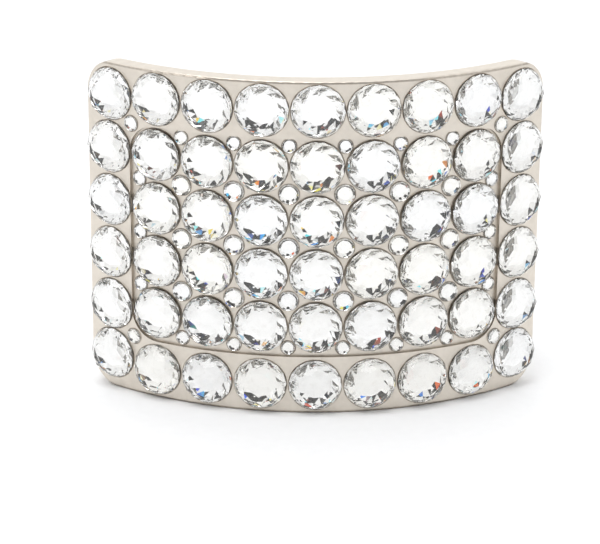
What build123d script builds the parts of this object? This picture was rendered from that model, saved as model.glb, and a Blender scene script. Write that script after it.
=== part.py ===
from build123d import *
import math
import os

os.makedirs("parts", exist_ok=True)

# ---------------------------------------------------------------- dimensions
# All in millimetres.  +Z is up, the stones face -Y, the hair side is +Y.
# The plate is a piece of an upright cylinder whose axis stands behind it.

R_OUT = 44.2            # outside radius of the face plate
PLATE_T = 2.2           # thickness of the face plate
R_IN = R_OUT - PLATE_T  # radius of its hollow back
PITCH = 7.4             # stone pitch along the arc, at R_OUT
ROW_PITCH = 7.45        # pitch of the four field rows
TOP_GAP = 7.7           # outer field row to top border row
BOTTOM_GAP = 8.1        # outer field row to bottom border row
TOP_SQUEEZE = 0.99      # the top row is set a little tighter
TOP_DROP = 0.35         # corner stones of the top row sit lower
BOTTOM_RISE = 0.85      # corner stones of the bottom row sit higher

STONE_D = 7.1           # large crystal
STONE_H = 2.3
STONE_TABLE_R = 2.15
GIRDLE_H = 0.35
ACCENT_D = 2.7          # accent between four field stones
RIM_ACCENT_D = 2.0      # accent at the rim of the field and at its corners
CORNER_ACCENT_D = 2.1
FIT = 0.04              # radial play of a crystal in its cup
BORDER_CUP = 0.6        # cup depth below the plate's outside
FIELD_CUP = 0.8
RECESS = 0.45           # the field lies this much below the border
ACCENT_CUP = 0.75
CORNER_CUP = 0.3

SIDE_MARGIN = 0.45
TOP_MARGIN = 0.4
BOTTOM_MARGIN = 0.55
CORNER_R = 4.5
ARRIS_R = 0.3
FIELD_HALF_ARC = 26.2
FIELD_TOP_LIP = 3.92
FIELD_BOTTOM_LIP = 4.1
FIELD_CORNER_R = 4.05

FIELD_EDGE = 1.5 * ROW_PITCH
FOOT = FIELD_EDGE + BOTTOM_GAP + STONE_D / 2 + BOTTOM_MARGIN
HEAD = FIELD_EDGE + TOP_GAP + STONE_D / 2 + TOP_MARGIN
Z_MID = FOOT            # height of the middle of the field above the bottom edge
HEIGHT = FOOT + HEAD
HALF_ANGLE = (4 * PITCH + STONE_D / 2 + SIDE_MARGIN) / R_OUT

# Clasp, measured from the deepest point of the plate's hollow back.
SHEET = 0.6
BASE_HALF_ANGLE = math.radians(39.5)
BASE_W = 8.5
RIM_H = 0.8
RIM_T = 0.6
PIN_R = 0.55
PIN_RADIUS = 38.2       # distance of the hinge pin from the cylinder axis
PIN_ANGLE = math.radians(-39.5)
EAR_R = 1.35
ARM_W = 7.1
ARM_EAR_R = 1.2
ARM_FRONT = 11.6        # middle of the arm's sheet at x = 0
ARM_SAG = 1.2
ARM_SAG_X = 23.5
FLANGE_H = 0.5
LEAF_T = 0.3
LEAF_W = 5.0
LEAF_PAD_OUT = math.radians(29.6)
LEAF_PAD_IN = math.radians(24.0)
RIVET_ANGLE = math.radians(27.0)
RIVET_R = 0.75
CATCH_X0 = 20.7
CATCH_X1 = 25.3
CATCH_TOP = 9.95
CATCH_W = 6.4
PRONG_X = 23.5
PRONG_W = 2.4
PRONG_T = 0.5
PRONG_Z = 1.5
PRONG_ROOT = 9.6
PRONG_ROOT_R = 0.5
PRONG_TIP = 15.8
BARB_OUT = 0.5
BARB_Y = 13.5
WINDOW_X = 3.0
WINDOW_Z = 4.7

TABLE_FRONT = R_OUT - BORDER_CUP + STONE_H
DEPTH = TABLE_FRONT - R_IN + PRONG_TIP
Y_AXIS = TABLE_FRONT - DEPTH / 2        # cylinder axis, with the box centred on y = 0
Y_BACK = Y_AXIS - R_IN                  # deepest point of the hollow back


# ------------------------------------------------------------------- helpers
def on_arc(radius, angle, z):
    """Frame on the cylinder: local +Z points out of the plate, local +Y is up."""
    origin = (radius * math.sin(angle), Y_AXIS - radius * math.cos(angle), z)
    out = (math.sin(angle), -math.cos(angle), 0)
    along = (math.cos(angle), math.sin(angle), 0)
    return Plane(origin=origin, x_dir=along, z_dir=out)


def shell_block(r_in, r_out, angle_0, angle_1, z_0, z_1):
    """Piece of an upright tube between two angles and two heights."""
    def at(radius, angle):
        return (radius * math.sin(angle), Y_AXIS - radius * math.cos(angle))

    mid = (angle_0 + angle_1) / 2
    outer = ThreePointArc(at(r_out, angle_0), at(r_out, mid), at(r_out, angle_1))
    end_1 = Line(at(r_out, angle_1), at(r_in, angle_1))
    inner = ThreePointArc(at(r_in, angle_1), at(r_in, mid), at(r_in, angle_0))
    end_0 = Line(at(r_in, angle_0), at(r_out, angle_0))
    face = make_face(Curve() + [outer, end_1, inner, end_0])
    return Pos(0, 0, z_0) * extrude(face, z_1 - z_0, dir=(0, 0, 1))


def upright_corners(block, half_angle):
    """The four short edges that run through the sheet at the corners of a block."""
    def is_corner(edge):
        middle = edge.center()
        angle = math.atan2(middle.X, Y_AXIS - middle.Y)
        flat = abs(edge.bounding_box().size.Z) < 1e-6
        return flat and edge.geom_type == GeomType.LINE and abs(abs(angle) - half_angle) < 1e-6

    return [edge for edge in block.edges() if is_corner(edge)]


def ribbon(start, heading, pieces, thickness, z_0, z_1):
    """Bent strip of sheet: pieces are (length, turn in radians), left turns positive."""
    half = thickness / 2
    x, y = start
    left = []
    right = []

    def side(px, py, direction, offset):
        return (px - offset * math.sin(direction), py + offset * math.cos(direction))

    for length, turn in pieces:
        steps = [side(x, y, heading, half), side(x, y, heading, -half)]
        if turn == 0:
            x += length * math.cos(heading)
            y += length * math.sin(heading)
            left.append(Line(steps[0], side(x, y, heading, half)))
            right.append(Line(steps[1], side(x, y, heading, -half)))
            continue
        radius = length / turn
        centre = (x - radius * math.sin(heading), y + radius * math.cos(heading))
        ends = []
        for share in (0.5, 1.0):
            direction = heading + turn * share
            px = centre[0] + radius * math.sin(direction)
            py = centre[1] - radius * math.cos(direction)
            ends.append((px, py, direction))
        mid, last = ends
        left.append(ThreePointArc(steps[0], side(*mid, half), side(*last, half)))
        right.append(ThreePointArc(steps[1], side(*mid, -half), side(*last, -half)))
        x, y, heading = last
    cap_0 = Line(left[0] @ 0, right[0] @ 0)
    cap_1 = Line(left[-1] @ 1, right[-1] @ 1)
    face = make_face(Curve() + left + right + [cap_0, cap_1])
    return Pos(0, 0, z_0) * extrude(face, z_1 - z_0, dir=(0, 0, 1))


def slab(outline, z_0, z_1):
    """Flat plate from an outline in the XY plane."""
    face = make_face(Polyline(*outline, close=True))
    return Pos(0, 0, z_0) * extrude(face, z_1 - z_0, dir=(0, 0, 1))


def rod(x, y, radius, z_0, z_1):
    """Upright rod between two heights."""
    return Pos(x, y, (z_0 + z_1) / 2) * Cylinder(radius, z_1 - z_0)


def save(shape, name):
    """Write one node."""
    export_step(shape, "parts/" + name + ".step")


# -------------------------------------------------------------------- stones
def large_gem():
    """Flat-backed crystal: octagon table, eight kites, star and girdle facets."""
    r = STONE_D / 2
    rt = STONE_TABLE_R
    rm = (rt + r) / 2
    eighth = math.pi / 8
    slope = (STONE_H - GIRDLE_H) / (r - rt)
    hm = STONE_H - (rm * math.cos(eighth) - rt) * slope
    points = []
    for k in range(16):
        a = k * eighth
        points.append((r * math.cos(a), r * math.sin(a), 0))
        points.append((r * math.cos(a), r * math.sin(a), GIRDLE_H))
    for k in range(8):
        a = 2 * k * eighth
        b = a + eighth
        points.append((rt * math.cos(a), rt * math.sin(a), STONE_H))
        points.append((rm * math.cos(b), rm * math.sin(b), hm))
    return ConvexPolyhedron(points)


def small_gem(diameter):
    """Accent crystal: octagon table with eight sloping facets."""
    r = diameter / 2
    height = 0.34 * diameter
    points = []
    for k in range(8):
        a = (k + 0.5) * math.pi / 4
        c = math.cos(a)
        s = math.sin(a)
        points.append((r * c, r * s, 0))
        points.append((r * c, r * s, 0.3 * height))
        points.append((0.58 * r * c, 0.58 * r * s, height))
    return ConvexPolyhedron(points)


def border_seats():
    """Seats of the border: name, arc position, height."""
    top = FIELD_EDGE + TOP_GAP
    bottom = -FIELD_EDGE - BOTTOM_GAP
    rows = {"border_stones_top": [], "border_stones_bottom": []}
    for col in range(-4, 5):
        corner = abs(col) == 4
        drop = TOP_DROP if corner else 0
        rise = BOTTOM_RISE if corner else 0
        rows["border_stones_top"].append((col * PITCH * TOP_SQUEEZE, top - drop))
        rows["border_stones_bottom"].append((col * PITCH, bottom + rise))
    for name, col in (("border_stones_left", -4), ("border_stones_right", 4)):
        rows[name] = [(col * PITCH, (1.5 - row) * ROW_PITCH) for row in range(4)]
    return rows


def field_seats():
    """Seats of the four field rows, from the top."""
    rows = {}
    for row in range(4):
        height = (1.5 - row) * ROW_PITCH
        seats = [(col * PITCH, height) for col in range(-3, 4)]
        rows["field_stones_row_%d" % (row + 1)] = seats
    return rows


def accent_seats():
    """Accent seats: name -> (arc position, height, diameter, depth of seat)."""
    rows = {}
    for row in range(5):
        height = (2 - row) * ROW_PITCH
        seats = []
        for half in (-3.5, -2.5, -1.5, -0.5, 0.5, 1.5, 2.5, 3.5):
            edge_row = row in (0, 4)
            if abs(half) > 3 and edge_row:
                lift = 15.0 if row == 0 else -15.15
                seats.append((half * PITCH, lift, CORNER_ACCENT_D, CORNER_CUP))
            elif edge_row:
                lift = FIELD_EDGE + (2.86 if row == 0 else 2.95)
                height = lift if row == 0 else -lift
                seats.append((half * PITCH, height, RIM_ACCENT_D - 0.1, ACCENT_CUP))
            elif abs(half) > 3:
                inward = math.copysign(3.37, half)
                seats.append((inward * PITCH, height, RIM_ACCENT_D, ACCENT_CUP))
            else:
                seats.append((half * PITCH, height, ACCENT_D, ACCENT_CUP))
        rows["accent_stones_row_%d" % (row + 1)] = seats
    return rows


def seated(gem, arc, height, depth, turn):
    """A gem with its flat back on the floor of its cup."""
    plane = on_arc(R_OUT - depth, arc / R_OUT, Z_MID + height)
    return plane * Rot(0, 0, turn) * gem


def cup(arc, height, radius, depth):
    """Cutter for one cup."""
    plane = on_arc(R_OUT - depth, arc / R_OUT, Z_MID + height)
    return plane * (Pos(0, 0, 1.5) * Cylinder(radius, 3.0))


def stone_turn(arc, height):
    """Each crystal is turned a little differently in its cup."""
    return 22.5 * math.sin(2.3 * arc + 1.7 * height)


def build_stones():
    """All crystals, one node for each row."""
    big = large_gem()
    for table, depth in ((border_seats(), BORDER_CUP), (field_seats(), FIELD_CUP)):
        for name, seats in table.items():
            gems = [seated(big, s, z, depth, stone_turn(s, z)) for s, z in seats]
            save(Compound(children=gems), name)
    for name, seats in accent_seats().items():
        gems = []
        for s, z, diameter, depth in seats:
            gems.append(seated(small_gem(diameter), s, z, depth, stone_turn(s, z)))
        save(Compound(children=gems), name)


# --------------------------------------------------------------- face plate
def all_cups():
    """Cutters for every cup in the plate."""
    cutters = []
    for table, depth in ((border_seats(), BORDER_CUP), (field_seats(), FIELD_CUP)):
        for seats in table.values():
            for s, z in seats:
                cutters.append(cup(s, z, STONE_D / 2 + FIT, depth))
    for seats in accent_seats().values():
        for s, z, diameter, depth in seats:
            cutters.append(cup(s, z, diameter / 2 + FIT, depth))
    return cutters


def field_recess():
    """The sunk field with its rounded corners."""
    half = FIELD_HALF_ARC / R_OUT
    z_0 = Z_MID - FIELD_EDGE - FIELD_BOTTOM_LIP
    z_1 = Z_MID + FIELD_EDGE + FIELD_TOP_LIP
    block = shell_block(R_OUT - RECESS, R_OUT + 1.0, -half, half, z_0, z_1)
    return fillet(upright_corners(block, half), FIELD_CORNER_R)


def rivet_bores(depth_in_plate):
    """Blind bores in the back of the plate."""
    bores = []
    for angle in (-RIVET_ANGLE, RIVET_ANGLE):
        plane = on_arc(R_IN + depth_in_plate, angle, Z_MID)
        bores.append(plane * (Pos(0, 0, -1.5) * Cylinder(RIVET_R + 0.01, 3.0)))
    return bores


def build_plate():
    """Curved face plate with its recess, cups and rivet bores."""
    plate = shell_block(R_IN, R_OUT, -HALF_ANGLE, HALF_ANGLE, 0, HEIGHT)
    plate = fillet(upright_corners(plate, HALF_ANGLE), CORNER_R)
    rim = []
    for edge in plate.edges():
        probe = edge.position_at(0.37)
        radius = math.hypot(probe.X, Y_AXIS - probe.Y)
        ends = [math.hypot(v.X, Y_AXIS - v.Y) for v in edge.vertices()]
        if abs(radius - R_OUT) < 1e-4 and all(abs(e - R_OUT) < 1e-4 for e in ends):
            rim.append(edge)
    plate = fillet(rim, ARRIS_R)
    plate -= field_recess()
    plate -= all_cups()
    plate -= rivet_bores(1.0)
    save(plate, "face_plate")


# -------------------------------------------------------------------- clasp
def pin_centre():
    """Position of the hinge pin."""
    x = PIN_RADIUS * math.sin(PIN_ANGLE)
    return x, Y_AXIS - PIN_RADIUS * math.cos(PIN_ANGLE)


def at_polar(radius, angle):
    """Point on a circle round the cylinder axis."""
    return (radius * math.sin(angle), Y_AXIS - radius * math.cos(angle))


def base_ear(z_0, z_1):
    """Ear of the base bar that carries one end of the pin."""
    px, py = pin_centre()
    foot_0 = math.radians(-32.5)
    outline = [
        at_polar(R_IN - 0.3, foot_0),
        at_polar(R_IN - SHEET - RIM_H, foot_0),
        (px + EAR_R * 0.85, py + EAR_R * 0.5),
        (px - EAR_R * 0.95, py - EAR_R * 0.3),
        at_polar(R_IN - SHEET, -BASE_HALF_ANGLE),
        at_polar(R_IN - 0.3, -BASE_HALF_ANGLE),
    ]
    ear = slab(outline, z_0, z_1) + rod(px, py, EAR_R, z_0, z_1)
    return ear & shell_block(R_IN - 8, R_IN - 0.2, -BASE_HALF_ANGLE - 0.2, 0, z_0, z_1)


def build_base():
    """Bar of the clasp: a channel bent to the hollow back, with hinge ears."""
    half_w = BASE_W / 2
    a = BASE_HALF_ANGLE
    base = shell_block(R_IN - SHEET, R_IN, -a, a, Z_MID - half_w, Z_MID + half_w)
    for side in (-1, 1):
        z_0 = Z_MID + side * (half_w - RIM_T / 2) - RIM_T / 2
        base += shell_block(R_IN - SHEET - RIM_H, R_IN - 0.3, -a, a, z_0, z_0 + RIM_T)
        base += base_ear(z_0, z_0 + RIM_T)
    px, py = pin_centre()
    base -= rod(px, py, PIN_R + 0.01, Z_MID - 6, Z_MID + 6)
    for angle in (-RIVET_ANGLE, RIVET_ANGLE):
        plane = on_arc(R_IN, angle, Z_MID)
        base -= plane * Cylinder(RIVET_R + 0.05, 3.0)
    base -= catch_rivet_shape(0.01)
    save(base, "clasp_base")


def rivet(angle, r_tip, r_seat):
    """Domed rivet along the normal of the plate."""
    plane = on_arc(r_seat, angle, Z_MID)
    shank = Pos(0, 0, (r_tip - r_seat) / 2) * Cylinder(RIVET_R, r_tip - r_seat)
    head = Pos(0, 0, -0.25) * Cylinder(1.3, 0.5)
    head = fillet(head.faces().sort_by(Axis.Z)[0].edges(), 0.35)
    return plane * (shank + head)


def build_base_rivets():
    """Two rivets through leaf and base bar into the plate."""
    r_leaf = R_IN - SHEET - LEAF_T
    r_seat = math.sqrt(r_leaf ** 2 - 1.3 ** 2)
    rivets = [rivet(angle, R_IN + 1.0, r_seat) for angle in (-RIVET_ANGLE, RIVET_ANGLE)]
    save(Compound(children=rivets), "base_rivets")


def build_leaf():
    """Bowed leaf spring that presses the hair against the arm."""
    r_pad = R_IN - SHEET - LEAF_T / 2
    bend_r = 8.0
    middle_slope = math.radians(4.0)
    x_bend = r_pad * math.sin(LEAF_PAD_IN)
    x_mid = x_bend - bend_r * (math.sin(LEAF_PAD_IN) - math.sin(middle_slope))
    r_mid = x_mid / math.sin(middle_slope)
    pad = LEAF_PAD_OUT - LEAF_PAD_IN
    bend = LEAF_PAD_IN - middle_slope
    pieces = [
        (r_pad * pad, pad),
        (bend_r * bend, bend),
        (r_mid * 2 * middle_slope, 2 * middle_slope),
        (bend_r * bend, bend),
        (r_pad * pad, pad),
    ]
    start = at_polar(r_pad, -LEAF_PAD_OUT)
    z_0 = Z_MID - LEAF_W / 2
    leaf = ribbon(start, -LEAF_PAD_OUT, pieces, LEAF_T, z_0, z_0 + LEAF_W)
    for angle in (-RIVET_ANGLE, RIVET_ANGLE):
        plane = on_arc(R_IN, angle, Z_MID)
        leaf -= plane * Cylinder(RIVET_R + 0.05, 5.0)
    save(leaf, "tension_spring")


def build_pin():
    """Hinge pin, peened at both ends."""
    px, py = pin_centre()
    half = BASE_W / 2
    pin = rod(px, py, PIN_R, Z_MID - half, Z_MID + half)
    for side in (-1, 1):
        z = Z_MID + side * (half + 0.175)
        head = Cylinder(0.95, 0.35)
        outer = head.faces().sort_by(Axis.Z)[-1 if side > 0 else 0]
        pin += Pos(px, py, z) * fillet(outer.edges(), 0.2)
    save(pin, "hinge_pin")


def catch_rivet_shape(play):
    """Flush rivet from the outside of the base bar into the catch block."""
    angle = math.asin((CATCH_X0 + 1.2) / (R_IN - SHEET))
    plane = on_arc(R_IN - 0.03, angle, Z_MID)
    cone = Pos(0, 0, -0.225) * Cone(0.7 + play, 1.15 + play, 0.45)
    shank = Pos(0, 0, -0.9) * Cylinder(0.7 + play, 1.8)
    lid = Pos(0, 0, 0.2) * Cylinder(1.15 + play, 0.4) if play else None
    shape = cone + shank
    if lid:
        shape += lid
    return plane * shape


def build_catch():
    """Catch block on the base bar with two grooves for the prongs."""
    half = CATCH_W / 2
    outline = [
        (CATCH_X0, Y_BACK),
        (CATCH_X1, Y_BACK),
        (CATCH_X1, Y_BACK + CATCH_TOP),
        (CATCH_X0 + 1.2, Y_BACK + CATCH_TOP),
        (CATCH_X0, Y_BACK + CATCH_TOP - 1.4),
    ]
    block = slab(outline, Z_MID - half, Z_MID + half)
    block &= shell_block(20, R_IN - SHEET, 0, 1.0, Z_MID - half, Z_MID + half)
    for side in (-1, 1):
        z = Z_MID + side * PRONG_Z
        groove = Cylinder(PRONG_ROOT_R + 0.05, PRONG_W + 0.2, rotation=(0, 90, 0))
        block -= Pos(PRONG_X, Y_BACK + PRONG_ROOT, z) * groove
        slot_w = PRONG_T + 0.3
        slot = Box(PRONG_W + 0.2, 2.0, slot_w)
        block -= Pos(PRONG_X, Y_BACK + PRONG_ROOT + 1.0, z + side * 0.08) * slot
    block -= catch_rivet_shape(0.01)
    save(block, "catch_block")
    save(catch_rivet_shape(0), "catch_rivet")


def build_prong(side, name):
    """Spring prong with a rounded root, an outward barb and a tapered tip."""
    z = Z_MID + side * PRONG_Z
    half = PRONG_T / 2
    points = [
        (PRONG_ROOT, -half),
        (PRONG_TIP, -half),
        (PRONG_TIP, 0.0),
        (BARB_Y + 0.6, half + BARB_OUT),
        (BARB_Y, half + BARB_OUT),
        (BARB_Y, half),
        (PRONG_ROOT, half),
    ]
    outline = [(PRONG_X - PRONG_W / 2, Y_BACK + y, z + side * w) for y, w in points]
    face = make_face(Polyline(*outline, close=True))
    blade = extrude(face, PRONG_W, dir=(1, 0, 0))
    root = Cylinder(PRONG_ROOT_R, PRONG_W, rotation=(0, 90, 0))
    save(blade + Pos(PRONG_X, Y_BACK + PRONG_ROOT, z) * root, name)


def build_arm():
    """Swinging arm: bowed sheet with flanges, ears, window and thumb lip."""
    px, py = pin_centre()
    radius = ARM_SAG_X ** 2 / (2 * ARM_SAG)
    x_0 = px + 1.35
    x_1 = 25.7
    a_0 = math.asin(x_0 / radius)
    a_1 = math.asin(x_1 / radius)
    y_0 = Y_BACK + ARM_FRONT + radius * (1 - math.cos(a_0))
    lip = math.radians(32)
    pieces = [(radius * (a_1 - a_0), a_1 - a_0), (2.0 * lip, lip), (1.0, 0)]
    half = ARM_W / 2
    arm = ribbon((x_0, y_0), a_0, pieces, SHEET, Z_MID - half, Z_MID + half)
    flange_y = ARM_FRONT - SHEET / 2 - FLANGE_H / 2
    b_1 = math.asin(21.0 / radius)
    run = [(radius * (b_1 - a_0), b_1 - a_0)]
    for side in (-1, 1):
        z_0 = Z_MID + side * (half - RIM_T / 2) - RIM_T / 2
        start = (x_0, Y_BACK + flange_y + radius * (1 - math.cos(a_0)) + 0.05)
        arm += ribbon(start, a_0, run, FLANGE_H + 0.1, z_0, z_0 + RIM_T)
        cheek = [
            (px - 0.2, py + ARM_EAR_R * 0.98),
            (x_0 + 2.2, y_0 + 0.05),
            (x_0 + 2.2, y_0 - SHEET / 2 - FLANGE_H - 0.15),
            (px, py - ARM_EAR_R),
        ]
        arm += slab(cheek, z_0, z_0 + RIM_T) + rod(px, py, ARM_EAR_R, z_0, z_0 + RIM_T)
    arm -= rod(px, py, PIN_R + 0.04, Z_MID - 6, Z_MID + 6)
    arm -= Pos(PRONG_X, Y_BACK + 13, Z_MID) * Box(WINDOW_X, 4, WINDOW_Z)
    save(arm, "clasp_arm")


build_plate()
build_stones()
build_base()
build_base_rivets()
build_leaf()
build_pin()
build_catch()
build_prong(1, "catch_prong_upper")
build_prong(-1, "catch_prong_lower")
build_arm()
print("height", round(HEIGHT, 3), "depth", round(DEPTH, 3), "axis", round(Y_AXIS, 3))
print("pin", [round(v, 4) for v in pin_centre()], "back", round(Y_BACK, 4), "mid", round(Z_MID, 4))
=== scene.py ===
"""Curved hair clip set with flat-backed crystals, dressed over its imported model.

The plate is a piece of an upright drum.  Crystals sit in cups on its outside, and a
one-arm clasp with a spring catch is riveted to its hollow back.
"""

import logging
import math
from dataclasses import dataclass, field
from enum import Enum
from typing import Callable, Iterable, Sequence

import bmesh
import bpy
from mathutils import Matrix, Vector
from mathutils.bvhtree import BVHTree


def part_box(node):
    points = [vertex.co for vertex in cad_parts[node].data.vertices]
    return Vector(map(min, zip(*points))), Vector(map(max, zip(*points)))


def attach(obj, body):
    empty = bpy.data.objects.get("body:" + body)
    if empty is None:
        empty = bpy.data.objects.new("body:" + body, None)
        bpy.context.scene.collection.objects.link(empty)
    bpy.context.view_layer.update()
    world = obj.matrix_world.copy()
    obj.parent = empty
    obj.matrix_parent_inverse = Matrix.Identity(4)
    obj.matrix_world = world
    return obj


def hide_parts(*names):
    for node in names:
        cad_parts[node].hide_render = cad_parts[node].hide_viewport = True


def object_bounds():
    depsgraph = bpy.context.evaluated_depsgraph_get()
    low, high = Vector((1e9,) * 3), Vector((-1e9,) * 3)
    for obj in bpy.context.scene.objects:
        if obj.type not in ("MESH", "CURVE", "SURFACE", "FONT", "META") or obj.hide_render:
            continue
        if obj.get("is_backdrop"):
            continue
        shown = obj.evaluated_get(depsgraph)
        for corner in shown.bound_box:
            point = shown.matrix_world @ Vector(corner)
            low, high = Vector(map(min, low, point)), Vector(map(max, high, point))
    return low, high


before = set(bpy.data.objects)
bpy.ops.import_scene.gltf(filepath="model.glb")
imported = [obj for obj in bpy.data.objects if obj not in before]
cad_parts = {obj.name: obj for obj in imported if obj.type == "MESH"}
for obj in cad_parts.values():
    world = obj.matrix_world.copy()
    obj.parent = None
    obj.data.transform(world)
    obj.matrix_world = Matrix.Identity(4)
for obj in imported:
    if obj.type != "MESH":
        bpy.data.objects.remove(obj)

LOG = logging.getLogger("hair_clip")
MM = 0.001
SAME_POINT = 2e-7
Colour = tuple[float, float, float]


# --------------------------------------------------------------------------- shader graphs
class Graph:
    """A material's node tree, with short calls for the nodes that the finishes share."""

    def __init__(self, name: str) -> None:
        """Start a material with one Principled shader.

        Args:
            name: the material's name.
        """
        self.material = bpy.data.materials.new(name)
        self.material.use_nodes = True
        self.tree = self.material.node_tree
        self.tree.nodes.clear()
        self.output = self.node("ShaderNodeOutputMaterial")
        self.shader = self.node("ShaderNodeBsdfPrincipled")
        self.link(self.shader.outputs[0], self.output.inputs["Surface"])

    def node(self, kind: str, **settings: object) -> bpy.types.Node:
        """Add a node.

        Args:
            kind: the node's type name.
            settings: attributes to set on it.

        Returns:
            The node.
        """
        made = self.tree.nodes.new(kind)
        for key, value in settings.items():
            setattr(made, key, value)
        return made

    def link(self, source: bpy.types.NodeSocket, target: bpy.types.NodeSocket) -> None:
        """Join two sockets."""
        self.tree.links.new(source, target)

    def constant(self, **values: object) -> None:
        """Set plain values on the shader's own sockets.

        Args:
            values: socket names with underscores for spaces.
        """
        for key, value in values.items():
            self.shader.inputs[key.replace("_", " ")].default_value = value

    def coordinates(self, stretch: Sequence[float] = (1.0, 1.0, 1.0)) -> bpy.types.NodeSocket:
        """Object coordinates, stretched along the axes.

        Args:
            stretch: factor for each axis.

        Returns:
            The vector socket.
        """
        source = self.node("ShaderNodeTexCoord")
        mapping = self.node("ShaderNodeMapping")
        mapping.inputs["Scale"].default_value = stretch
        self.link(source.outputs["Object"], mapping.inputs["Vector"])
        return mapping.outputs["Vector"]

    def noise(
        self,
        scale: float,
        detail: float = 3.0,
        stretch: Sequence[float] = (1.0, 1.0, 1.0),
        roughness: float = 0.55,
    ) -> bpy.types.NodeSocket:
        """Cloudy noise.

        Args:
            scale: blotches per metre.
            detail: octaves.
            stretch: factor for each axis.
            roughness: strength of the finer octaves.

        Returns:
            The value socket.
        """
        texture = self.node("ShaderNodeTexNoise")
        texture.inputs["Scale"].default_value = scale
        texture.inputs["Detail"].default_value = detail
        texture.inputs["Roughness"].default_value = roughness
        self.link(self.coordinates(stretch), texture.inputs["Vector"])
        return texture.outputs["Fac"]

    def spread(
        self, value: bpy.types.NodeSocket, low: float, high: float, start: float = 0.0, end: float = 1.0
    ) -> bpy.types.NodeSocket:
        """Map a value to a range.

        Args:
            value: the value socket.
            low: result at start.
            high: result at end.
            start: input that gives low.
            end: input that gives high.

        Returns:
            The mapped socket.
        """
        ranged = self.node("ShaderNodeMapRange")
        self.link(value, ranged.inputs["Value"])
        for name, number in (("From Min", start), ("From Max", end), ("To Min", low), ("To Max", high)):
            ranged.inputs[name].default_value = number
        return ranged.outputs["Result"]

    def tones(
        self, value: bpy.types.NodeSocket, stops: Sequence[tuple[float, Colour]]
    ) -> bpy.types.NodeSocket:
        """Colour ramp.

        Args:
            value: the value socket.
            stops: pairs of place and linear colour.

        Returns:
            The colour socket.
        """
        ramp = self.node("ShaderNodeValToRGB")
        elements = ramp.color_ramp.elements
        for index, (place, colour) in enumerate(stops):
            stop = elements[index] if index < 2 else elements.new(place)
            stop.position = place
            stop.color = (*colour, 1.0)
        self.link(value, ramp.inputs["Fac"])
        return ramp.outputs["Color"]

    def mixed(
        self,
        share: bpy.types.NodeSocket,
        first: bpy.types.NodeSocket | Colour,
        second: bpy.types.NodeSocket | Colour,
        blend: str = "MIX",
    ) -> bpy.types.NodeSocket:
        """Mix two colours.

        Args:
            share: share of the second colour.
            first: socket or linear colour.
            second: socket or linear colour.
            blend: blend mode.

        Returns:
            The colour socket.
        """
        mix = self.node("ShaderNodeMix", data_type="RGBA", blend_type=blend)
        self.link(share, mix.inputs["Factor"])
        for side, name in ((first, "A"), (second, "B")):
            target = [s for s in mix.inputs if s.name == name and s.type == "RGBA"][0]
            if isinstance(side, tuple):
                target.default_value = (*side, 1.0)
            else:
                self.link(side, target)
        return [s for s in mix.outputs if s.type == "RGBA"][0]

    def maths(
        self, operation: str, first: bpy.types.NodeSocket, second: bpy.types.NodeSocket
    ) -> bpy.types.NodeSocket:
        """One sum of two values.

        Args:
            operation: the sum.
            first: first value.
            second: second value.

        Returns:
            The result socket.
        """
        node = self.node("ShaderNodeMath", operation=operation)
        self.link(first, node.inputs[0])
        self.link(second, node.inputs[1])
        return node.outputs[0]

    def bump(self, height: bpy.types.NodeSocket, depth: float, strength: float = 1.0) -> None:
        """Raise the surface's normal by a height.

        Args:
            height: height socket, 0 to 1.
            depth: metres between 0 and 1.
            strength: share of the effect.
        """
        relief = self.node("ShaderNodeBump")
        relief.inputs["Distance"].default_value = depth
        relief.inputs["Strength"].default_value = strength
        self.link(height, relief.inputs["Height"])
        self.link(relief.outputs["Normal"], self.shader.inputs["Normal"])

    def blotched(
        self,
        blot: bpy.types.NodeSocket,
        tones: tuple[Colour, Colour],
        stops: tuple[float, float],
        rough: tuple[float, float],
    ) -> None:
        """Colour and roughen the shader by one blotchy value.

        Args:
            blot: the value socket.
            tones: colours of the low and the high blots.
            stops: values that give those colours.
            rough: roughness at 0 and at 1.
        """
        self.link(self.tones(blot, tuple(zip(stops, tones))), self.shader.inputs["Base Color"])
        self.link(self.spread(blot, *rough), self.shader.inputs["Roughness"])


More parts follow.
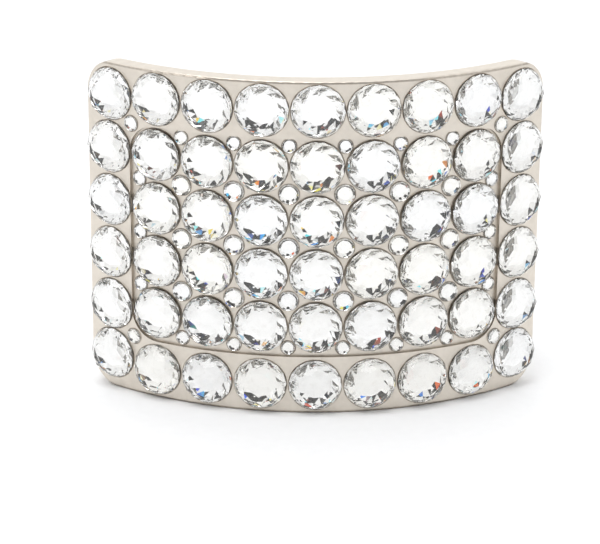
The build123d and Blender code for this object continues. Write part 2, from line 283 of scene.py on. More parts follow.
# --------------------------------------------------------------------------- finishes
@dataclass(frozen=True)
class SatinPlating:
    """Pale champagne plating over a cast plate, with brown painted shade along its bottom and top edges and
    on its cup walls.
    """

    name: str = "satin_champagne_plating"
    pale: Colour = (0.735, 0.68, 0.605)
    deep: Colour = (0.68, 0.628, 0.556)
    # Brown of the painted shade along the bottom and top edges and on the cup walls.
    brown: Colour = (0.20, 0.155, 0.115)
    grain: float = 2600.0
    cloud: float = 800.0
    cloud_stops: tuple[float, float] = (0.32, 0.62)
    rough: tuple[float, float] = (0.34, 0.50)
    relief: float = 0.06 * MM
    top: float = 46.2 * MM
    # Bands of painted shade: the foot along the bottom edge, the brow to crest just under the top edge.
    foot_line: tuple[float, float] = (0.10 * MM, 0.42 * MM)
    foot_share: float = 0.85
    brow_line: tuple[float, float] = (0.42 * MM, 0.30 * MM)
    brow_share: float = 0.55
    crest_line: tuple[float, float] = (0.16 * MM, 0.10 * MM)
    broken: tuple[float, float] = (0.3, 0.6)
    thinnest: float = 0.55

    def material(self) -> bpy.types.Material:
        """Build the material."""
        graph = Graph(self.name)
        graph.constant(Metallic=1.0)
        cloud = graph.noise(self.cloud, 4.0)
        colour = graph.tones(cloud, tuple(zip(self.cloud_stops, (self.deep, self.pale))))
        grain = graph.noise(self.grain, 5.0, roughness=0.7)
        # Painted brown shade mixed into the plating's colour.
        shaded = graph.mixed(self.painted_shade(graph, grain), colour, self.brown)
        graph.link(shaded, graph.shader.inputs["Base Color"])
        graph.link(graph.spread(grain, *self.rough), graph.shader.inputs["Roughness"])
        graph.bump(grain, self.relief, 0.5)
        return graph.material

    def painted_shade(self, graph: Graph, grain: bpy.types.NodeSocket) -> bpy.types.NodeSocket:
        """Painted shade in brown: along the bottom and top edges and on the cups' walls.

        Args:
            graph: the material under construction.
            grain: fine noise that breaks the painted shade's edge.

        Returns:
            The share of brown painted shade.
        """
        parts = graph.node("ShaderNodeSeparateXYZ")
        graph.link(graph.coordinates(), parts.inputs[0])
        height = parts.outputs["Z"]
        brow_start, brow_end = (self.top - below for below in self.brow_line)
        crest_start, crest_end = (self.top - below for below in self.crest_line)
        # Painted shade: the floor's shadow as seen in the bottom arris, and a dark line under the top edge.
        foot = graph.spread(height, self.foot_share, 0.0, *self.foot_line)
        brow = graph.spread(height, 0.0, self.brow_share, brow_start, brow_end)
        crest = graph.spread(height, 1.0, 0.0, crest_start, crest_end)
        # Painted shade on the walls of the cups and of the sunk field, marked on the plate's faces.
        wall = graph.node("ShaderNodeAttribute", attribute_name="wall")
        line = graph.maths("MULTIPLY", brow, crest)
        most = graph.maths("MAXIMUM", graph.maths("MAXIMUM", foot, line), wall.outputs["Fac"])
        return graph.maths("MULTIPLY", most, graph.spread(grain, self.thinnest, 1.0, *self.broken))


@dataclass(frozen=True)
class CutCrystal:
    """Clear glass of a low index, which keeps light paths short; each stone has a faint tint."""

    name: str = "cut_crystal"
    refraction: float = 1.38
    warm: Colour = (0.985, 0.98, 0.955)
    cool: Colour = (0.965, 0.972, 0.985)

    def material(self) -> bpy.types.Material:
        """Build the material."""
        graph = Graph(self.name)
        graph.constant(Transmission_Weight=1.0, Roughness=0.0, IOR=self.refraction)
        tint = graph.node("ShaderNodeAttribute", attribute_name="tint")
        colour = graph.mixed(tint.outputs["Fac"], self.warm, self.cool)
        graph.link(colour, graph.shader.inputs["Base Color"])
        return graph.material


@dataclass(frozen=True)
class MirrorFoil:
    """Silver foil on the back of each crystal, slightly crazed and partly diffuse."""

    name: str = "mirror_foil"
    bright: Colour = (0.96, 0.955, 0.94)
    dull: Colour = (0.91, 0.90, 0.88)
    metal: float = 0.87
    craze: float = 1500.0
    stops: tuple[float, float] = (0.30, 0.50)
    rough: tuple[float, float] = (0.02, 0.04)

    def material(self) -> bpy.types.Material:
        """Build the material."""
        graph = Graph(self.name)
        graph.constant(Metallic=self.metal)
        graph.blotched(graph.noise(self.craze), (self.dull, self.bright), self.stops, self.rough)
        return graph.material


@dataclass(frozen=True)
class EdgeLacquer:
    """Pale lacquer that runs up each crystal's edge."""

    name: str = "edge_lacquer"
    pale: Colour = (0.90, 0.885, 0.84)
    deep: Colour = (0.72, 0.69, 0.63)
    blot: float = 1300.0
    stops: tuple[float, float] = (0.30, 0.55)
    rough: tuple[float, float] = (0.22, 0.36)

    def material(self) -> bpy.types.Material:
        """Build the material."""
        graph = Graph(self.name)
        graph.constant(Metallic=0.0)
        graph.blotched(graph.noise(self.blot), (self.deep, self.pale), self.stops, self.rough)
        return graph.material


@dataclass(frozen=True)
class SeatCementAndShade:
    """Brown lacquer and cement that shows as a fine line round each crystal; its dark brown is partly
    painted shade of the gap between stone and cup.
    """

    name: str = "seat_cement"
    # Dark blots stand partly for the shade in the gap round each stone: painted shade.
    dark: Colour = (0.15, 0.115, 0.085)
    light: Colour = (0.50, 0.43, 0.35)
    blot: float = 900.0
    stops: tuple[float, float] = (0.36, 0.62)
    rough: tuple[float, float] = (0.30, 0.55)
    grit: float = 5000.0
    relief: float = 0.03 * MM

    def material(self) -> bpy.types.Material:
        """Build the material."""
        graph = Graph(self.name)
        graph.blotched(graph.noise(self.blot, 4.0), (self.dark, self.light), self.stops, self.rough)
        graph.bump(graph.noise(self.grit, 2.0), self.relief, 0.5)
        return graph.material


@dataclass(frozen=True)
class BrushedMetal:
    """Sheet metal with fine rolling marks along one axis."""

    name: str
    pale: Colour
    deep: Colour
    smooth: float
    rough: float
    along: tuple[float, float, float] = (0.06, 1.0, 1.0)
    marks: float = 5200.0
    cloud: float = 320.0
    cloud_stops: tuple[float, float] = (0.30, 0.66)
    shade: float = 0.22
    shade_stops: tuple[float, float] = (0.35, 0.7)
    rough_stops: tuple[float, float] = (0.3, 0.7)
    relief: float = 0.04 * MM

    def material(self) -> bpy.types.Material:
        """Build the material."""
        graph = Graph(self.name)
        graph.constant(Metallic=1.0)
        streak = graph.noise(self.marks, 4.0, self.along, 0.65)
        cloud = graph.noise(self.cloud)
        colour = graph.tones(cloud, tuple(zip(self.cloud_stops, (self.deep, self.pale))))
        share = graph.spread(streak, 0.0, self.shade, *self.shade_stops)
        shaded = graph.mixed(share, colour, self.deep, "MULTIPLY")
        graph.link(shaded, graph.shader.inputs["Base Color"])
        roughness = graph.spread(streak, self.smooth, self.rough, *self.rough_stops)
        graph.link(roughness, graph.shader.inputs["Roughness"])
        graph.bump(streak, self.relief, 0.35)
        return graph.material


@dataclass(frozen=True)
class StudioPaper:
    """White paper sweep under the clip."""

    name: str = "studio_paper"
    fibre: float = 700.0
    pale: Colour = (0.93, 0.935, 0.945)
    deep: Colour = (0.90, 0.905, 0.915)

    def material(self) -> bpy.types.Material:
        """Build the material."""
        graph = Graph(self.name)
        graph.constant(Roughness=0.85)
        colour = graph.tones(graph.noise(self.fibre, 4.0), ((0.2, self.deep), (0.8, self.pale)))
        graph.link(colour, graph.shader.inputs["Base Color"])
        return graph.material


@dataclass(frozen=True)
class FinishSet:
    """Every material of the clip, made once."""

    plate: bpy.types.Material
    crystal: bpy.types.Material
    foil: bpy.types.Material
    lacquer: bpy.types.Material
    cement: bpy.types.Material
    nickel: bpy.types.Material
    bright_nickel: bpy.types.Material
    casting: bpy.types.Material
    spring: bpy.types.Material
    paper: bpy.types.Material

    @classmethod
    def make(cls) -> "FinishSet":
        """Build all the materials."""
        return cls(
            plate=SatinPlating().material(),
            crystal=CutCrystal().material(),
            foil=MirrorFoil().material(),
            lacquer=EdgeLacquer().material(),
            cement=SeatCementAndShade().material(),
            nickel=BrushedMetal(
                "nickel_sheet", (0.66, 0.64, 0.61), (0.52, 0.50, 0.47), 0.20, 0.38
            ).material(),
            bright_nickel=BrushedMetal(
                "bright_nickel", (0.78, 0.76, 0.73), (0.62, 0.60, 0.57), 0.08, 0.20, (1.0, 1.0, 1.0), 1800.0
            ).material(),
            casting=BrushedMetal(
                "nickel_casting", (0.66, 0.64, 0.62), (0.52, 0.50, 0.48), 0.24, 0.42, (1.0, 1.0, 1.0), 2400.0
            ).material(),
            spring=BrushedMetal(
                "spring_steel", (0.62, 0.62, 0.63), (0.48, 0.48, 0.50), 0.18, 0.36
            ).material(),
            paper=StudioPaper().material(),
        )


# --------------------------------------------------------------------------- mesh helpers
def linked(name: str, mesh: bpy.types.Mesh) -> bpy.types.Object:
    """Put a mesh in the scene.

    Args:
        name: the piece's name.
        mesh: its mesh.

    Returns:
        The object.
    """
    piece = bpy.data.objects.new(name, mesh)
    bpy.context.scene.collection.objects.link(piece)
    return piece


def settled(piece: bpy.types.Object) -> bpy.types.Object:
    """Turn a piece's modifiers into plain mesh.

    Args:
        piece: an object with modifiers.

    Returns:
        The same object with the result as its mesh and no modifiers.
    """
    bpy.context.view_layer.update()
    evaluated = piece.evaluated_get(bpy.context.evaluated_depsgraph_get())
    mesh = bpy.data.meshes.new_from_object(evaluated)
    old = piece.data
    piece.modifiers.clear()
    piece.data = mesh
    mesh.name = piece.name
    bpy.data.meshes.remove(old)
    return piece


def merged_copy(node: str, name: str, flat_angle: float = 0.0) -> bpy.types.Object:
    """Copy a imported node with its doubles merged.

    Args:
        node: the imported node.
        name: the copy's name.
        flat_angle: degrees under which neighbouring faces become one, 0 for none.

    Returns:
        The copy.
    """
    graph = bmesh.new()
    graph.from_mesh(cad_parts[node].data)
    bmesh.ops.remove_doubles(graph, verts=graph.verts, dist=SAME_POINT)
    if flat_angle:
        bmesh.ops.dissolve_limit(
            graph, angle_limit=math.radians(flat_angle), verts=graph.verts, edges=graph.edges
        )
    mesh = bpy.data.meshes.new(name)
    graph.to_mesh(mesh)
    graph.free()
    mesh.materials.clear()
    return linked(name, mesh)


def eased(piece: bpy.types.Object, width: float, angle: float = 28.0) -> bpy.types.Object:
    """Round the sharp edges of a piece a little.

    Args:
        piece: the piece.
        width: metres.
        angle: degrees from which an edge counts as sharp.

    Returns:
        The piece, with plain mesh.
    """
    bevel = piece.modifiers.new("eased_edges", "BEVEL")
    bevel.width = width
    bevel.segments = 2
    bevel.limit_method = "ANGLE"
    bevel.angle_limit = math.radians(angle)
    bevel.harden_normals = False
    settled(piece)
    piece.data.shade_smooth()
    return piece


def dressed(
    piece: bpy.types.Object, body: str, slot: str, material: bpy.types.Material | None, *nodes: str
) -> bpy.types.Object:
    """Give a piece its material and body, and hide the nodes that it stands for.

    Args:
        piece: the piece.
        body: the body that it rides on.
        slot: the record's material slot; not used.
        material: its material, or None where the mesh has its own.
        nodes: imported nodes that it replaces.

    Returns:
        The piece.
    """
    if material is not None:
        piece.data.materials.clear()
        piece.data.materials.append(material)
    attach(piece, body)
    if nodes:
        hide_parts(*nodes)
    LOG.info("%s: %d faces", piece.name, len(piece.data.polygons))
    return piece


# --------------------------------------------------------------------------- node trees
class Weave:
    """A Geometry Nodes tree under construction, with named inputs."""

    def __init__(self, name: str) -> None:
        """Start an empty tree with a geometry input and output.

        Args:
            name: the tree's name.
        """
        self.tree = bpy.data.node_groups.new(name, "GeometryNodeTree")
        self.tree.interface.new_socket("Geometry", in_out="INPUT", socket_type="NodeSocketGeometry")
        self.tree.interface.new_socket("Geometry", in_out="OUTPUT", socket_type="NodeSocketGeometry")
        self.values: dict[str, object] = {}
        self.source = self.node("NodeGroupInput")
        self.target = self.node("NodeGroupOutput")

    def node(self, kind: str, **settings: object) -> bpy.types.Node:
        """Add a node and set its attributes."""
        made = self.tree.nodes.new(kind)
        for key, value in settings.items():
            setattr(made, key, value)
        return made

    def value(self, name: str, kind: str, value: object) -> bpy.types.NodeSocket:
        """Add a named input.

        Args:
            name: the input's name.
            kind: the socket's type.
            value: what the modifier gives it.

        Returns:
            The input's socket inside the tree.
        """
        socket = self.tree.interface.new_socket(name, in_out="INPUT", socket_type=kind)
        self.values[socket.identifier] = value
        return self.source.outputs[name]

    def feed(self, node: bpy.types.Node, **sources: object) -> bpy.types.Node:
        """Link sockets or set plain values on a node's inputs.

        Args:
            node: the node.
            sources: input names with underscores for spaces.

        Returns:
            The node.
        """
        for key, source in sources.items():
            target = node.inputs[key.replace("_", " ")]
            if isinstance(source, bpy.types.NodeSocket):
                self.tree.links.new(source, target)
            else:
                target.default_value = source
        return node

    def attribute(self, name: str, kind: str) -> bpy.types.NodeSocket:
        """Read a named attribute.

        Args:
            name: the attribute's name.
            kind: its data type.

        Returns:
            The value socket.
        """
        reader = self.node("GeometryNodeInputNamedAttribute", data_type=kind)
        reader.inputs["Name"].default_value = name
        return [s for s in reader.outputs if s.enabled and s.name == "Attribute"][0]

    def maths(
        self, operation: str, first: bpy.types.NodeSocket, second: bpy.types.NodeSocket | float
    ) -> bpy.types.NodeSocket:
        """One sum of two values.

        Args:
            operation: the sum.
            first: first value.
            second: second value or number.

        Returns:
            The result socket.
        """
        node = self.node("ShaderNodeMath", operation=operation)
        self.tree.links.new(first, node.inputs[0])
        if isinstance(second, float):
            node.inputs[1].default_value = second
        else:
            self.tree.links.new(second, node.inputs[1])
        return node.outputs[0]

    def random(
        self,
        seed: bpy.types.NodeSocket,
        low: bpy.types.NodeSocket | None = None,
        high: bpy.types.NodeSocket | None = None,
    ) -> bpy.types.NodeSocket:
        """Draw a number for each point.

        Args:
            seed: the seed's socket.
            low: least value, 0 when left out.
            high: greatest value, 1 when left out.

        Returns:
            The number's socket.
        """
        draw = self.node("FunctionNodeRandomValue", data_type="FLOAT")
        limits = [socket for socket in draw.inputs if socket.enabled]
        for source, target in zip((low, high), limits):
            if source is not None:
                self.tree.links.new(source, target)
        self.tree.links.new(seed, draw.inputs["Seed"])
        return [socket for socket in draw.outputs if socket.enabled][0]

    def upright(self) -> bpy.types.NodeSocket:
        """Rotation that stands an instance on the drum, from the points' attributes.

        Returns:
            The rotation socket.
        """
        node = self.feed(
            self.node("FunctionNodeAxesToRotation", primary_axis="Z", secondary_axis="X"),
            Primary_Axis=self.attribute("out", "FLOAT_VECTOR"),
            Secondary_Axis=self.attribute("along", "FLOAT_VECTOR"),
        )
        return node.outputs[0]

    def finish(self, instances: bpy.types.NodeSocket, material: bpy.types.NodeSocket) -> None:
        """Realize instances, give them one material and end the tree.

        Args:
            instances: the instances' socket.
            material: the material's socket.
        """
        real = self.feed(self.node("GeometryNodeRealizeInstances"), Geometry=instances)
        clad = self.feed(
            self.node("GeometryNodeSetMaterial"), Geometry=real.outputs[0], Material=material
        )
        self.feed(self.target, Geometry=clad.outputs[0])

    def run(self, piece: bpy.types.Object) -> bpy.types.Object:
        """Run the tree on a piece and keep the result as plain mesh.

        Args:
            piece: the object that holds the input geometry.

        Returns:
            The piece.
        """
        modifier = piece.modifiers.new(self.tree.name, "NODES")
        modifier.node_group = self.tree
        for identifier, value in self.values.items():
            modifier[identifier] = value
        return settled(piece)


# --------------------------------------------------------------------------- the drum
@dataclass(frozen=True)
class Drum:
    """The upright drum that the plate is a piece of."""

    outside: float = 44.2 * MM
    plate: float = 2.2 * MM
    axis_y: float = 36.05 * MM

    @property
    def inside(self) -> float:
        """Radius of the plate's hollow back."""
        return self.outside - self.plate

    def out(self, angle: float) -> Vector:
        """Unit vector away from the drum's axis."""
        return Vector((math.sin(angle), -math.cos(angle), 0.0))

    def along(self, angle: float) -> Vector:
        """Unit vector round the drum, to the right seen from the front."""
        return Vector((math.cos(angle), math.sin(angle), 0.0))

    def point(self, radius: float, angle: float, height: float) -> Vector:
        """A point at a radius, angle and height."""
        return Vector((0.0, self.axis_y, height)) + radius * self.out(angle)


@dataclass(frozen=True)
class Seat:
    """Where one crystal sits: arc and height from the field's middle, depth below the outside."""

    arc: float
    height: float
    diameter: float
    depth: float


@dataclass(frozen=True)
class SeatPlan:
    """The seats of every crystal, row by row."""

    pitch: float = 7.4 * MM
    row_pitch: float = 7.45 * MM
    top_gap: float = 7.7 * MM
    bottom_gap: float = 8.1 * MM
    top_squeeze: float = 0.99
    top_drop: float = 0.35 * MM
    bottom_rise: float = 0.85 * MM
    large: float = 7.16 * MM
    accent: float = 2.76 * MM
    rim_accent: float = 2.06 * MM
    edge_accent: float = 1.96 * MM
    corner_accent: float = 2.16 * MM
    border_cup: float = 0.6 * MM
    field_cup: float = 0.8 * MM
    accent_cup: float = 0.75 * MM
    corner_cup: float = 0.3 * MM
    foot: float = 4.1 * MM
    top_corner: float = 15.0 * MM
    bottom_corner: float = 15.15 * MM
    top_edge_gap: float = 2.86 * MM
    bottom_edge_gap: float = 2.95 * MM
    side_column: float = 3.37

    @property
    def edge(self) -> float:
        """Height of the outer field rows from the field's middle."""
        return 1.5 * self.row_pitch

    @property
    def middle(self) -> float:
        """Height of the field's middle above the floor."""
        return self.edge + self.bottom_gap + self.foot

    def border(self) -> dict[str, list[Seat]]:
        """Rows of the border."""
        top = self.edge + self.top_gap
        bottom = -self.edge - self.bottom_gap
        rows: dict[str, list[Seat]] = {"border_stones_top": [], "border_stones_bottom": []}
        for column in range(-4, 5):
            corner = abs(column) == 4
            upper = top - (self.top_drop if corner else 0.0)
            lower = bottom + (self.bottom_rise if corner else 0.0)
            arc = column * self.pitch
            rows["border_stones_top"].append(
                Seat(arc * self.top_squeeze, upper, self.large, self.border_cup)
            )
            rows["border_stones_bottom"].append(Seat(arc, lower, self.large, self.border_cup))
        for name, column in (("border_stones_left", -4), ("border_stones_right", 4)):
            rows[name] = [
                Seat(column * self.pitch, (1.5 - row) * self.row_pitch, self.large, self.border_cup)
                for row in range(4)
            ]
        return rows

    def field(self) -> dict[str, list[Seat]]:
        """The four rows of the sunk field."""
        return {
            f"field_stones_row_{row + 1}": [
                Seat(column * self.pitch, (1.5 - row) * self.row_pitch, self.large, self.field_cup)
                for column in range(-3, 4)
            ]
            for row in range(4)
        }

    def accents(self) -> dict[str, list[Seat]]:
        """The five rows of small crystals."""
        rows: dict[str, list[Seat]] = {}
        for row in range(5):
            rows[f"accent_stones_row_{row + 1}"] = [
                self.accent_seat(row, half) for half in (-3.5, -2.5, -1.5, -0.5, 0.5, 1.5, 2.5, 3.5)
            ]
        return rows

    def accent_seat(self, row: int, half: float) -> Seat:
        """One small crystal's seat.

        Args:
            row: 0 at the top to 4 at the bottom.
            half: column, in pitches from the middle.

        Returns:
            The seat.
        """
        outer = abs(half) > 3
        sign = 1.0 if row == 0 else -1.0
        if row in (0, 4) and outer:
            height = (self.top_corner if row == 0 else self.bottom_corner) * sign
            return Seat(half * self.pitch, height, self.corner_accent, self.corner_cup)
        if row in (0, 4):
            height = (self.edge + (self.top_edge_gap if row == 0 else self.bottom_edge_gap)) * sign
            return Seat(half * self.pitch, height, self.edge_accent, self.accent_cup)
        height = (2 - row) * self.row_pitch
        if outer:
            arc = math.copysign(self.side_column, half) * self.pitch
            return Seat(arc, height, self.rim_accent, self.accent_cup)
        return Seat(half * self.pitch, height, self.accent, self.accent_cup)


# --------------------------------------------------------------------------- crystals
class Coat(Enum):
    """Coats on the back of a crystal, each by the face attribute that marks it."""

    FOIL = "foiled"
    LACQUER = "lacquered"


@dataclass(frozen=True)
class Cut:
    """A cut for a stone of unit diameter: table, crown, girdle and a shallow foiled bowl.

    Each ring of the bowl is a radius, a height and a wave up and down between its corners.
    """

    table: float
    height: float
    girdle_low: float
    girdle_high: float
    bowl: tuple[tuple[float, float, float], ...]
    shoulder: float
    starred: bool = True

    def rings(self) -> tuple[list[Vector], ...]:
        """Corner points of the cut, from the table down.

        Returns:
            Table, crown, upper girdle and lower girdle corners, then each ring of the foiled bowl.
        """
        def ring(
            count: int, radius: float, height: float, shift: float = 0.0, wave: float = 0.0
        ) -> list[Vector]:
            """Corners of a regular ring, turned by a share of a step and waved up and down."""
            step = 2 * math.pi / count
            return [
                Vector((
                    radius * math.cos((index + shift) * step),
                    radius * math.sin((index + shift) * step),
                    height + (wave if index % 2 else -wave),
                ))
                for index in range(count)
            ]

        crown_r = (self.table + self.shoulder) / 2
        slope = (self.height - self.girdle_high) / (self.shoulder - self.table)
        crown_z = self.height - (crown_r * math.cos(math.pi / 8) - self.table) * slope
        return (
            ring(8, self.table, self.height),
            ring(8, crown_r, crown_z, 0.5),
            ring(16, self.shoulder, self.girdle_high),
            ring(16, 0.5, self.girdle_low),
            *(ring(16, radius, height, wave=wave) for radius, height, wave in self.bowl),
        )

    def mesh(self, name: str) -> bpy.types.Mesh:
        """Build the cut.

        Args:
            name: the mesh's name.

        Returns:
            A closed mesh whose backed faces carry the attribute "foiled" or "lacquered".
        """
        graph = bmesh.new()
        foiled = graph.faces.layers.float.new(Coat.FOIL.value)
        lacquered = graph.faces.layers.float.new(Coat.LACQUER.value)
        table, crown, upper, *backs = (
            [graph.verts.new(corner) for corner in ring] for ring in self.rings()
        )
        graph.faces.new(table)
        for index in range(8):
            after = (index + 1) % 8
            girdle = [upper[(2 * index + step) % 16] for step in range(3)]
            if self.starred:
                graph.faces.new((table[after], table[index], crown[index]))
                graph.faces.new((table[index], crown[index - 1], girdle[0], crown[index]))
                graph.faces.new((crown[index], girdle[0], girdle[1]))
                graph.faces.new((crown[index], girdle[1], girdle[2]))
            else:
                graph.faces.new((table[after], table[index], girdle[1]))
                graph.faces.new((table[index], girdle[0], girdle[1]))
                graph.faces.new((table[after], girdle[1], girdle[2]))
        for level, (above, below) in enumerate(zip([upper, *backs], backs)):
            for index in range(16):
                after = (index + 1) % 16
                side = graph.faces.new((above[index], above[after], below[after], below[index]))
                side[lacquered] = 1.0 if level == 1 else 0.0
                side[foiled] = 1.0 if level > 1 else 0.0
        graph.faces.new(backs[-1])[foiled] = 1.0
        loose = [corner for corner in graph.verts if not corner.link_faces]
        bmesh.ops.delete(graph, geom=loose, context="VERTS")
        bmesh.ops.recalc_face_normals(graph, faces=graph.faces)
        mesh = bpy.data.meshes.new(name)
        graph.to_mesh(mesh)
        graph.free()
        return mesh


@dataclass
class Crystals:
    """All the stones, each row one piece, and the fine cement line round each, partly painted shade of the
    gap round each stone.
    """

    drum: Drum
    plan: SeatPlan
    finishes: FinishSet
    large_cut: Cut = Cut(
        table=0.303,
        height=0.324,
        girdle_low=0.10,
        girdle_high=0.175,
        bowl=((0.475, 0.055, 0.0), (0.39, 0.03, 0.012), (0.26, 0.005, 0.0)),
        shoulder=0.462,
    )
    small_cut: Cut = Cut(
        table=0.36,
        height=0.34,
        girdle_low=0.12,
        girdle_high=0.24,
        bowl=((0.46, 0.06, 0.0), (0.30, 0.01, 0.0)),
        shoulder=0.465,
        starred=False,
    )
    tilt: float = math.radians(0.9)
    turn: float = math.radians(22.5)
    turn_by_arc: float = 2.3 / MM
    turn_by_height: float = 5.1 / MM
    recess: float = 0.45 * MM
    large_bead: float = 0.055 * MM
    small_bead: float = 0.06 * MM
    first_seed: int = 3
    seed_step: float = 31.0
    templates: dict[str, bpy.types.Object] = field(default_factory=dict)

    def template(self, name: str, cut: Cut) -> bpy.types.Object:
        """A single stone that rows are made of.

        Args:
            name: the template's name.
            cut: its cut.

        Returns:
            The template, kept out of the scene.
        """
        if name not in self.templates:
            self.templates[name] = bpy.data.objects.new(name, cut.mesh(name))
        return self.templates[name]

    def seats(self, name: str, places: Iterable[Seat], lift: float = 0.0) -> bpy.types.Object:
        """Points with the facts that a stone or ring needs.

        Args:
            name: the object's name.
            places: the seats.
            lift: height of the points above the cup's floor.

        Returns:
            An object of loose points.
        """
        places = list(places)
        points = []
        for seat in places:
            angle = seat.arc / self.drum.outside
            radius = self.drum.outside - seat.depth + lift
            points.append(self.drum.point(radius, angle, self.plan.middle + seat.height))
        mesh = bpy.data.meshes.new(name)
        mesh.from_pydata(points, [], [])
        facts: dict[str, tuple[str, Callable[[Seat], object]]] = {
            "out": ("FLOAT_VECTOR", lambda seat: self.drum.out(seat.arc / self.drum.outside)),
            "along": ("FLOAT_VECTOR", lambda seat: self.drum.along(seat.arc / self.drum.outside)),
            "turn": ("FLOAT", lambda seat: self.turn * math.sin(
                self.turn_by_arc * seat.arc + self.turn_by_height * seat.height)),
            "size": ("FLOAT", lambda seat: seat.diameter),
        }
        for key, (kind, fact) in facts.items():
            layer = mesh.attributes.new(key, kind, "POINT")
            for item, seat in zip(layer.data, places):
                if kind == "FLOAT":
                    item.value = fact(seat)
                else:
                    item.vector = fact(seat)
        return linked(name, mesh)

    def row(self, node: str, places: Sequence[Seat], template: bpy.types.Object, seed: int) -> None:
        """Set one row of stones by Geometry Nodes.

        Args:
            node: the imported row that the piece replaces.
            places: its seats.
            template: the stone.
            seed: seed for the small tilts and tints.
        """
        weave = Weave(f"{node}_setting")
        stone = weave.value("Stone", "NodeSocketObject", template)
        tilt = weave.value("Largest Tilt", "NodeSocketFloat", self.tilt)
        chance = weave.value("Seed", "NodeSocketInt", seed)
        glass = weave.value("Glass", "NodeSocketMaterial", self.finishes.crystal)
        silver = weave.value("Foil", "NodeSocketMaterial", self.finishes.foil)
        cream = weave.value("Lacquer", "NodeSocketMaterial", self.finishes.lacquer)
        info = weave.feed(weave.node("GeometryNodeObjectInfo"), Object=stone)
        least = weave.maths("MULTIPLY", tilt, -1.0)
        lean = weave.node("ShaderNodeCombineXYZ")
        for axis, offset in (("X", 0.0), ("Y", self.seed_step)):
            seeded = weave.maths("ADD", chance, offset)
            weave.feed(lean, **{axis: weave.random(seeded, least, tilt)})
        weave.feed(lean, Z=weave.attribute("turn", "FLOAT"))
        local = weave.feed(weave.node("FunctionNodeEulerToRotation"), Euler=lean.outputs[0])
        turned = weave.feed(
            weave.node("FunctionNodeRotateRotation", rotation_space="LOCAL"),
            Rotation=weave.upright(),
            Rotate_By=local.outputs[0],
        )
        placed = weave.feed(
            weave.node("GeometryNodeInstanceOnPoints"),
            Points=weave.source.outputs["Geometry"],
            Instance=info.outputs["Geometry"],
            Rotation=turned.outputs[0],
            Scale=weave.attribute("size", "FLOAT"),
        )
        store = weave.node("GeometryNodeStoreNamedAttribute", data_type="FLOAT", domain="INSTANCE")
        weave.feed(store, Geometry=placed.outputs[0], Name="tint")
        target = [s for s in store.inputs if s.enabled and s.name == "Value"][0]
        weave.tree.links.new(weave.random(chance), target)
        real = weave.feed(weave.node("GeometryNodeRealizeInstances"), Geometry=store.outputs[0])
        clear = weave.feed(weave.node("GeometryNodeSetMaterial"), Geometry=real.outputs[0], Material=glass)
        backed = clear
        for coat, material in ((Coat.FOIL, silver), (Coat.LACQUER, cream)):
            backed = weave.feed(
                weave.node("GeometryNodeSetMaterial"),
                Geometry=backed.outputs[0],
                Selection=weave.attribute(coat.value, "FLOAT"),
                Material=material,
            )
        weave.feed(weave.target, Geometry=backed.outputs[0])
        piece = weave.run(self.seats(node.replace("stones", "crystals"), places))
        slot = "accent_crystal" if "accent" in node else "crystal"
        dressed(piece, "base", slot, None, node)

    def cement(self, name: str, places: Sequence[Seat], bead: float, surface: float) -> None:
        """Lay the fine cement line round a group of stones by Geometry Nodes; its dark brown is partly
        painted shade of the gap round each stone.

        Args:
            name: the piece's name.
            places: the stones' seats.
            bead: radius of the line's section.
            surface: height of the plate's surface above the cups' floor.
        """
        weave = Weave(f"{name}_line")
        thickness = weave.value("Bead Radius", "NodeSocketFloat", bead)
        drum = weave.value("Drum Radius", "NodeSocketFloat", self.drum.outside)
        brown = weave.value("Cement", "NodeSocketMaterial", self.finishes.cement)
        size = places[0].diameter
        reach = weave.value("Ring Radius", "NodeSocketFloat", size / 2 + bead * 0.5)
        ring = weave.feed(
            weave.node("GeometryNodeCurvePrimitiveCircle", mode="RADIUS"), Resolution=40, Radius=reach
        )
        section = weave.feed(
            weave.node("GeometryNodeCurvePrimitiveCircle", mode="RADIUS"), Resolution=7, Radius=thickness
        )
        place = weave.node("GeometryNodeInputPosition")
        parts = weave.feed(weave.node("ShaderNodeSeparateXYZ"), Vector=place.outputs[0])
        square = weave.maths("MULTIPLY", parts.outputs["X"], parts.outputs["X"])
        drop = weave.maths("DIVIDE", square, weave.maths("MULTIPLY", drum, -2.0))
        shift = weave.feed(weave.node("ShaderNodeCombineXYZ"), Z=drop)
        saddle = weave.feed(
            weave.node("GeometryNodeSetPosition"), Geometry=ring.outputs[0], Offset=shift.outputs[0]
        )
        line = weave.feed(
            weave.node("GeometryNodeCurveToMesh"), Curve=saddle.outputs[0], Profile_Curve=section.outputs[0]
        )
        placed = weave.feed(
            weave.node("GeometryNodeInstanceOnPoints"),
            Points=weave.source.outputs["Geometry"],
            Instance=line.outputs[0],
            Rotation=weave.upright(),
        )
        weave.finish(placed.outputs[0], brown)
        piece = weave.run(self.seats(name, places, surface))
        piece.data.shade_smooth()
        dressed(piece, "base", "plate_metal", None)

    def build(self) -> None:
        """Build every row and every cement line, the lines partly painted shade."""
        large = self.template("large_stone", self.large_cut)
        small = self.template("small_stone", self.small_cut)
        border = self.plan.border()
        inner = self.plan.field()
        accents = self.plan.accents()
        seed = self.first_seed
        for rows, template in ((border, large), (inner, large), (accents, small)):
            for node, places in rows.items():
                self.row(node, places, template, seed)
                seed += 1
        for name, rows, surface in (
            ("cement_border", border, self.plan.border_cup),
            ("cement_field", inner, self.plan.field_cup - self.recess),
        ):
            places = [seat for row in rows.values() for seat in row]
            self.cement(name, places, self.large_bead, surface)
        by_size: dict[float, list[Seat]] = {}
        for row in accents.values():
            for seat in row:
                by_size.setdefault(seat.diameter, []).append(seat)
        for index, places in enumerate(by_size.values()):
            sunk = places[0].depth > self.recess
            surface = places[0].depth - (self.recess if sunk else 0.0)
            self.cement(f"cement_accent_{index + 1}", places, self.small_bead, surface)


